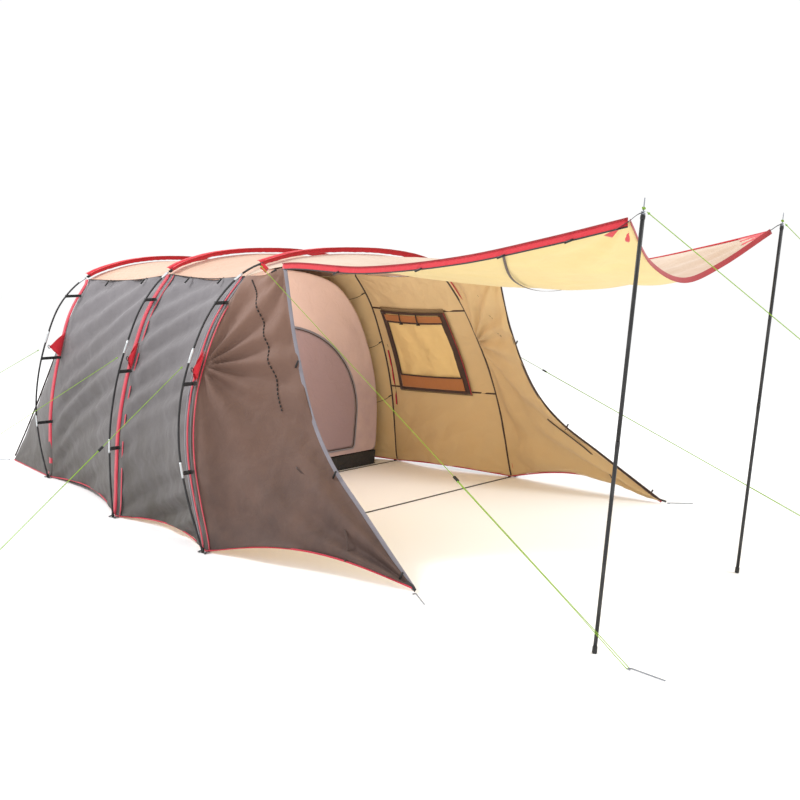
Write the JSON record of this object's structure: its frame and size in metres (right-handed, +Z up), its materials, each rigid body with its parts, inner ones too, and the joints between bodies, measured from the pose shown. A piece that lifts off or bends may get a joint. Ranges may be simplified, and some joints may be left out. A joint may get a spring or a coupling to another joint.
{
  "type": "tunnel tent",
  "caption": "Tunnel tent with outside arch poles, two forward wings, a door awning on two uprights, a curtained window, a hung inner tent and pegged guy lines.",
  "frame": {"origin": "middle of the front ground strap's underside, on the ground between the feet of the front arch", "axes": "+X across the tunnel towards the wall with the window, +Y along the tunnel towards the rear, +Z up"},
  "size_m": [4.6808, 8.82, 2.0733],
  "materials": {
    "arch_pole": "black lacquered glass-fibre tube",
    "upright_tube": "black powder coat",
    "steel": "galvanised wire and bright spikes",
    "wall_cloth": "coated plain-weave polyester, grey-taupe",
    "wing_cloth": "coated plain-weave polyester, brown-mauve outside and khaki inside",
    "roof_cloth": "coated plain-weave polyester, cream",
    "red_cloth": "plain-weave polyester, red",
    "awning_cloth": "coated plain-weave polyester, pale yellow",
    "inner_cloth": "breathable polyester, lilac-beige",
    "floor_cloth": "heavy coated sheet, black",
    "curtain_cloth": "plain-weave polyester, warm beige",
    "window_pane": "fine mesh",
    "webbing": "woven black webbing",
    "guy_cord": "braided lime cord",
    "slider_plastic": "black nylon"
  },
  "bodies": {
    "root": {"front_arch_near_leg": "arch_pole", "front_arch_crest": "arch_pole", "front_arch_far_leg": "arch_pole", "middle_arch_near_leg": "arch_pole", "middle_arch_crest": "arch_pole", "middle_arch_far_leg": "arch_pole", "rear_arch_near_leg": "arch_pole", "rear_arch_crest": "arch_pole", "rear_arch_far_leg": "arch_pole", "front_crest_sleeve": "red_cloth", "middle_crest_sleeve": "red_cloth", "rear_crest_sleeve": "red_cloth", "front_roof": "roof_cloth", "rear_roof": "roof_cloth", "near_front_wall": "wall_cloth", "near_rear_wall": "wall_cloth", "far_front_wall": "wall_cloth", "far_rear_wall": "wall_cloth", "rear_end": "wall_cloth", "near_wing": "wing_cloth", "far_wing": "wing_cloth", "awning": "awning_cloth", "window_mesh_pane": "window_pane", "near_upright_lower_tube": "upright_tube", "near_upright_upper_tube": "upright_tube", "near_upright_spike": "steel", "far_upright_lower_tube": "upright_tube", "far_upright_upper_tube": "upright_tube", "far_upright_spike": "steel", "inner_tent_shell": "inner_cloth", "inner_tent_front": "inner_cloth", "inner_tent_floor": "floor_cloth", "front_ground_strap": "webbing", "middle_ground_strap": "webbing", "near_rear_guy_cord": "guy_cord", "near_rear_guy_peg": "steel", "near_middle_guy_cord": "guy_cord", "near_middle_guy_peg": "steel", "near_front_guy_cord": "guy_cord", "near_front_guy_peg": "steel", "near_crest_guy_cord": "guy_cord", "near_crest_guy_peg": "steel", "far_front_guy_cord": "guy_cord", "far_front_guy_peg": "steel", "near_upright_guy_cord": "guy_cord", "near_upright_guy_peg": "steel", "far_upright_guy_cord": "guy_cord", "far_upright_guy_peg": "steel", "near_wing_peg": "steel", "far_wing_peg": "steel", "rear_corner_peg": "steel"},
    "inner_door": {"inner_tent_door": "inner_cloth"},
    "curtain": {"window_curtain": "curtain_cloth"},
    "near_rear_guy_runner": {"near_rear_guy_slider": "slider_plastic"},
    "near_middle_guy_runner": {"near_middle_guy_slider": "slider_plastic"},
    "near_front_guy_runner": {"near_front_guy_slider": "slider_plastic"},
    "near_crest_guy_runner": {"near_crest_guy_slider": "slider_plastic"},
    "far_front_guy_runner": {"far_front_guy_slider": "slider_plastic"},
    "near_upright_guy_runner": {"near_upright_guy_slider": "slider_plastic"},
    "far_upright_guy_runner": {"far_upright_guy_slider": "slider_plastic"}
  },
  "joints": [
    {"name": "inner_door_swing", "type": "hinge", "parent": "root", "child": "inner_door", "pos_m": [-0.33, 1.2885, 0.7], "axis": [0, 0, 1], "range_deg": [-80, 0]},
    {"name": "curtain_swing", "type": "hinge", "parent": "root", "child": "curtain", "pos_m": [1.2426, 0.4939, 1.384], "axis": [-0.1182, 0.993, 0.0086], "range_deg": [0, 75]},
    {"name": "near_rear_guy_runner_slide", "type": "slide", "parent": "root", "child": "near_rear_guy_runner", "axis": [-0.6087, 0.6192, -0.4961], "range_m": [-0.25, 0.3]},
    {"name": "near_middle_guy_runner_slide", "type": "slide", "parent": "root", "child": "near_middle_guy_runner", "axis": [-0.3912, 0.7699, -0.5042], "range_m": [-0.35, 0.3]},
    {"name": "near_front_guy_runner_slide", "type": "slide", "parent": "root", "child": "near_front_guy_runner", "axis": [-0.6904, 0.2528, -0.6778], "range_m": [-0.25, 0.3]},
    {"name": "near_crest_guy_runner_slide", "type": "slide", "parent": "root", "child": "near_crest_guy_runner", "axis": [-0.0958, -0.8506, -0.517], "range_m": [-0.6, 0.5]},
    {"name": "far_front_guy_runner_slide", "type": "slide", "parent": "root", "child": "far_front_guy_runner", "axis": [0.0598, -0.9191, -0.3894], "range_m": [-0.25, 0.6]},
    {"name": "near_upright_guy_runner_slide", "type": "slide", "parent": "root", "child": "near_upright_guy_runner", "axis": [0.6466, -0.4728, -0.5986], "range_m": [-0.35, 0.6]},
    {"name": "far_upright_guy_runner_slide", "type": "slide", "parent": "root", "child": "far_upright_guy_runner", "axis": [0.4238, -0.5636, -0.7091], "range_m": [-0.35, 0.6]}
  ]
}
